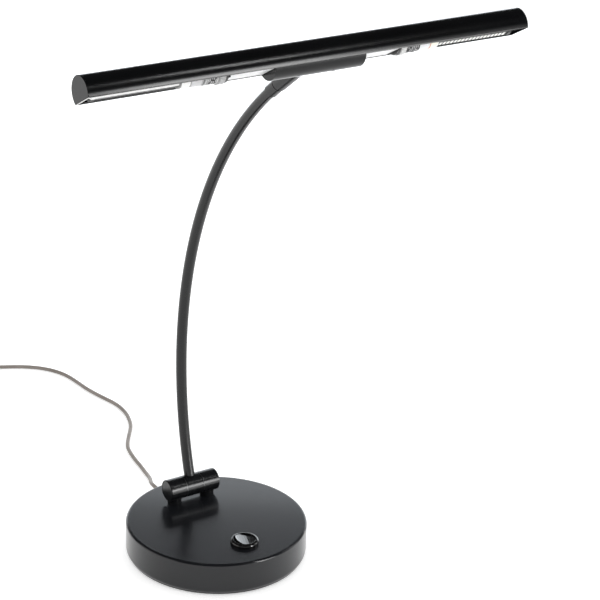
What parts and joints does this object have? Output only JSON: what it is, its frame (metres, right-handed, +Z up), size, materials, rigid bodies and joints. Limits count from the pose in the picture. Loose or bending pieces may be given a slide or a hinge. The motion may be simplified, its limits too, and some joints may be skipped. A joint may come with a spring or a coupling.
{
  "type": "piano lamp",
  "caption": "Piano lamp with a round weighted base, rocker switch, hinged bow arm and a tubular tilting shade over two light sticks.",
  "frame": {"origin": "centre of the round base, on the surface that the lamp stands on", "axes": "+Z up, +X along the hinge and the shade to the lamp's right as seen from the switch side, -Y to the front, where the shade reaches over the switch; 1 unit = 1 m"},
  "size_m": [0.4928, 0.7375, 0.6295],
  "materials": {
    "black_metal": "satin black powder coat",
    "shade_inside": "satin black",
    "black_plastic": "gloss",
    "matte_black": "matte",
    "white_plastic": "satin",
    "cream_plastic": "satin",
    "steel": "zinc plated",
    "bright_steel": "polished",
    "iron": "raw",
    "brass": "bright",
    "rubber": "matte",
    "lead_grey": "satin grey-brown",
    "chip_yellow": "phosphor"
  },
  "bodies": {
    "base": {"base_shell": "black_metal", "base_pad": "rubber", "bottom_plate": "steel", "ballast_disc": "iron", "centre_bolt": "steel", "switch_housing": "black_plastic", "switch_contacts": "brass", "terminal_block": "white_plastic", "cord_anchor": "matte_black", "base_wiring": "lead_grey", "cord_gland": "rubber", "strain_relief": "rubber", "post_left": "black_metal", "post_right": "black_metal", "knuckle_left": "black_metal", "knuckle_right": "black_metal", "post_screws": "steel", "post_washers": "steel", "hinge_bolt": "steel", "hinge_nut": "steel", "spring_washers": "bright_steel", "hinge_caps": "matte_black", "friction_washers": "bright_steel", "cord_run": "lead_grey", "cord_coil": "lead_grey", "cord_tie": "matte_black", "plug_body": "lead_grey", "plug_pins": "brass"},
    "rocker": {"switch_rocker": "black_plastic"},
    "arm": {"knuckle_centre": "black_metal", "tube_setscrew": "steel", "arm_tube": "black_metal", "arm_wires": "lead_grey", "arm_collar": "black_metal", "swivel_stud": "steel", "swivel_nut": "steel"},
    "neck": {"neck_sleeve": "black_metal", "neck_nipple": "steel", "tilt_hub": "steel"},
    "head": {"shade_shell": "black_metal", "end_cap_left": "black_metal", "end_cap_right": "black_metal", "centre_cover": "black_metal", "cover_screws": "steel", "carrier_bar": "steel", "tilt_brackets": "steel", "tilt_pin": "steel", "tilt_nuts": "steel", "tilt_washers": "bright_steel", "wiring_cover_left": "white_plastic", "wiring_cover_right": "white_plastic", "holder_brackets": "shade_inside", "lamp_holder_left": "matte_black", "lamp_holder_right": "matte_black", "lamp_caps": "bright_steel", "lamp_housing_left": "cream_plastic", "lamp_housing_right": "cream_plastic", "led_stick_left": "matte_black", "led_stick_right": "matte_black", "led_chips": "chip_yellow"}
  },
  "joints": [
    {"name": "arm_hinge", "type": "hinge", "parent": "base", "child": "arm", "pos_m": [0, 0.057, 0.05465], "axis": [1, 0, 0], "range_deg": [-30, 35]},
    {"name": "neck_swivel", "type": "hinge", "parent": "arm", "child": "neck", "pos_m": [0, -0.15476, 0.61303], "axis": [0, -0.792, 0.6105], "range_deg": [-90, 90]},
    {"name": "shade_tilt", "type": "hinge", "parent": "neck", "child": "head", "pos_m": [0, -0.15476, 0.61303], "axis": [1, 0, 0], "range_deg": [-30, 30]},
    {"name": "switch_rock", "type": "hinge", "parent": "base", "child": "rocker", "pos_m": [0, -0.059, 0.0395], "axis": [0.342, 0.9397, 0], "range_deg": [-18, 0]}
  ]
}
